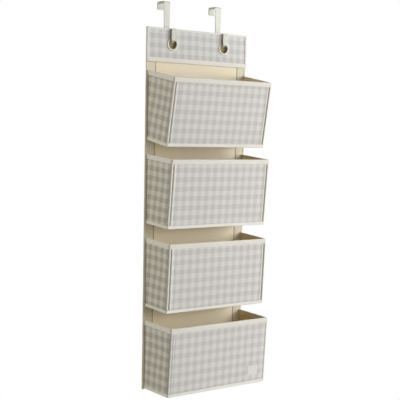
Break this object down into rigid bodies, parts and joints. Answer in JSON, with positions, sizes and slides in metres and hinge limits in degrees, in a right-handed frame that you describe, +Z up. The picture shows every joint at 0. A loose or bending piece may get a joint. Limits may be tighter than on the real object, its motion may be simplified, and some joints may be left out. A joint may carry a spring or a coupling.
{
  "type": "over-door fabric pocket organizer",
  "caption": "Hanging gingham fabric organizer with stacked box pockets that fold flat, carried by two bent strap hooks that go over a door.",
  "frame": {"origin": "midway between the two hooks, in the middle of the door's thickness, level with the underside of the hooks' bridges, which is the top of the door", "axes": "+X to the right of a person who faces the pockets, -Y out of the pockets' fronts towards that person, +Z up"},
  "size_m": [0.35, 0.169, 1.036],
  "materials": {
    "cream_paint": "satin",
    "eyelet_metal": "satin",
    "gingham_cloth": "woven",
    "cream_cloth": "woven",
    "binding_tape": "woven",
    "stiffener_board": "matte",
    "label_cloth": "woven"
  },
  "bodies": {
    "hooks": {"hook_left": "cream_paint", "hook_right": "cream_paint"},
    "sheet": {"back_sheet": "cream_cloth", "header_cover": "gingham_cloth", "header_board": "stiffener_board", "header_binding": "binding_tape", "header_hem": "binding_tape", "sheet_binding_left": "binding_tape", "sheet_binding_right": "binding_tape", "eyelet_left": "eyelet_metal", "eyelet_right": "eyelet_metal", "eyelet_washer_left": "eyelet_metal", "eyelet_washer_right": "eyelet_metal", "pocket_1_side_left": "gingham_cloth", "pocket_1_side_right": "gingham_cloth", "pocket_1_side_band_left": "binding_tape", "pocket_1_side_band_right": "binding_tape", "pocket_2_side_left": "gingham_cloth", "pocket_2_side_right": "gingham_cloth", "pocket_2_side_band_left": "binding_tape", "pocket_2_side_band_right": "binding_tape", "pocket_3_side_left": "gingham_cloth", "pocket_3_side_right": "gingham_cloth", "pocket_3_side_band_left": "binding_tape", "pocket_3_side_band_right": "binding_tape", "pocket_4_side_left": "gingham_cloth", "pocket_4_side_right": "gingham_cloth", "pocket_4_side_band_left": "binding_tape", "pocket_4_side_band_right": "binding_tape"},
    "pocket_1_rear": {"pocket_1_base_rear": "cream_cloth"},
    "pocket_1_middle": {"pocket_1_base_front": "cream_cloth"},
    "pocket_1_face": {"pocket_1_front_cover": "gingham_cloth", "pocket_1_front_board": "stiffener_board", "pocket_1_mouth_band": "binding_tape", "pocket_1_base_binding": "binding_tape"},
    "pocket_2_rear": {"pocket_2_base_rear": "cream_cloth"},
    "pocket_2_middle": {"pocket_2_base_front": "cream_cloth"},
    "pocket_2_face": {"pocket_2_front_cover": "gingham_cloth", "pocket_2_front_board": "stiffener_board", "pocket_2_mouth_band": "binding_tape", "pocket_2_base_binding": "binding_tape"},
    "pocket_3_rear": {"pocket_3_base_rear": "cream_cloth"},
    "pocket_3_middle": {"pocket_3_base_front": "cream_cloth"},
    "pocket_3_face": {"pocket_3_front_cover": "gingham_cloth", "pocket_3_front_board": "stiffener_board", "pocket_3_mouth_band": "binding_tape", "pocket_3_base_binding": "binding_tape"},
    "pocket_4_rear": {"pocket_4_base_rear": "cream_cloth"},
    "pocket_4_middle": {"pocket_4_base_front": "cream_cloth"},
    "pocket_4_face": {"pocket_4_front_cover": "gingham_cloth", "pocket_4_front_board": "stiffener_board", "pocket_4_mouth_band": "binding_tape", "pocket_4_base_binding": "binding_tape", "label": "label_cloth"}
  },
  "joints": [
    {"name": "swing", "type": "hinge", "parent": "hooks", "child": "sheet", "pos_m": [0, -0.0383, -0.09798], "axis": [-1, 0, 0], "range_deg": [0, 50]},
    {"name": "pocket_1_fold", "type": "hinge", "parent": "sheet", "child": "pocket_1_rear", "pos_m": [0, -0.03809, -0.36362], "axis": [-1, 0, 0], "range_deg": [0, 77], "deforming": ["pocket_1_side_left", "pocket_1_side_right", "pocket_1_side_band_left", "pocket_1_side_band_right"]},
    {"name": "pocket_1_crease", "type": "hinge", "parent": "pocket_1_rear", "child": "pocket_1_middle", "pos_m": [0, -0.07699, -0.37523], "axis": [-1, 0, 0], "range_deg": [-154, 0]},
    {"name": "pocket_1_front_fold", "type": "hinge", "parent": "pocket_1_middle", "child": "pocket_1_face", "pos_m": [0, -0.11724, -0.38058], "axis": [-1, 0, 0], "range_deg": [0, 83.7]},
    {"name": "pocket_2_fold", "type": "hinge", "parent": "sheet", "child": "pocket_2_rear", "pos_m": [0, -0.0378, -0.58356], "axis": [-1, 0, 0], "range_deg": [0, 83], "deforming": ["pocket_2_side_left", "pocket_2_side_right", "pocket_2_side_band_left", "pocket_2_side_band_right"]},
    {"name": "pocket_2_crease", "type": "hinge", "parent": "pocket_2_rear", "child": "pocket_2_middle", "pos_m": [0, -0.08152, -0.59145], "axis": [-1, 0, 0], "range_deg": [-166, 0]},
    {"name": "pocket_2_front_fold", "type": "hinge", "parent": "pocket_2_middle", "child": "pocket_2_face", "pos_m": [0, -0.12592, -0.59297], "axis": [-1, 0, 0], "range_deg": [0, 87]},
    {"name": "pocket_3_fold", "type": "hinge", "parent": "sheet", "child": "pocket_3_rear", "pos_m": [0, -0.03777, -0.80355], "axis": [-1, 0, 0], "range_deg": [0, 83], "deforming": ["pocket_3_side_left", "pocket_3_side_right", "pocket_3_side_band_left", "pocket_3_side_band_right"]},
    {"name": "pocket_3_crease", "type": "hinge", "parent": "pocket_3_rear", "child": "pocket_3_middle", "pos_m": [0, -0.08142, -0.81097], "axis": [-1, 0, 0], "range_deg": [-166, 0]},
    {"name": "pocket_3_front_fold", "type": "hinge", "parent": "pocket_3_middle", "child": "pocket_3_face", "pos_m": [0, -0.12569, -0.81202], "axis": [-1, 0, 0], "range_deg": [0, 85.6]},
    {"name": "pocket_4_fold", "type": "hinge", "parent": "sheet", "child": "pocket_4_rear", "pos_m": [0, -0.03768, -1.02354], "axis": [-1, 0, 0], "range_deg": [0, 84], "deforming": ["pocket_4_side_left", "pocket_4_side_right", "pocket_4_side_band_left", "pocket_4_side_band_right"]},
    {"name": "pocket_4_crease", "type": "hinge", "parent": "pocket_4_rear", "child": "pocket_4_middle", "pos_m": [0, -0.0868, -1.02983], "axis": [-1, 0, 0], "range_deg": [-168, 0]},
    {"name": "pocket_4_front_fold", "type": "hinge", "parent": "pocket_4_middle", "child": "pocket_4_face", "pos_m": [0, -0.13632, -1.02974], "axis": [-1, 0, 0], "range_deg": [0, 87.16]}
  ],
  "couplings": [
    {"joint": "pocket_1_crease", "follows": "pocket_1_fold", "ratio": -2},
    {"joint": "pocket_1_front_fold", "follows": "pocket_1_fold", "ratio": 1.087},
    {"joint": "pocket_2_crease", "follows": "pocket_2_fold", "ratio": -2},
    {"joint": "pocket_2_front_fold", "follows": "pocket_2_fold", "ratio": 1.048},
    {"joint": "pocket_3_crease", "follows": "pocket_3_fold", "ratio": -2},
    {"joint": "pocket_3_front_fold", "follows": "pocket_3_fold", "ratio": 1.0313},
    {"joint": "pocket_4_crease", "follows": "pocket_4_fold", "ratio": -2},
    {"joint": "pocket_4_front_fold", "follows": "pocket_4_fold", "ratio": 1.0376}
  ]
}
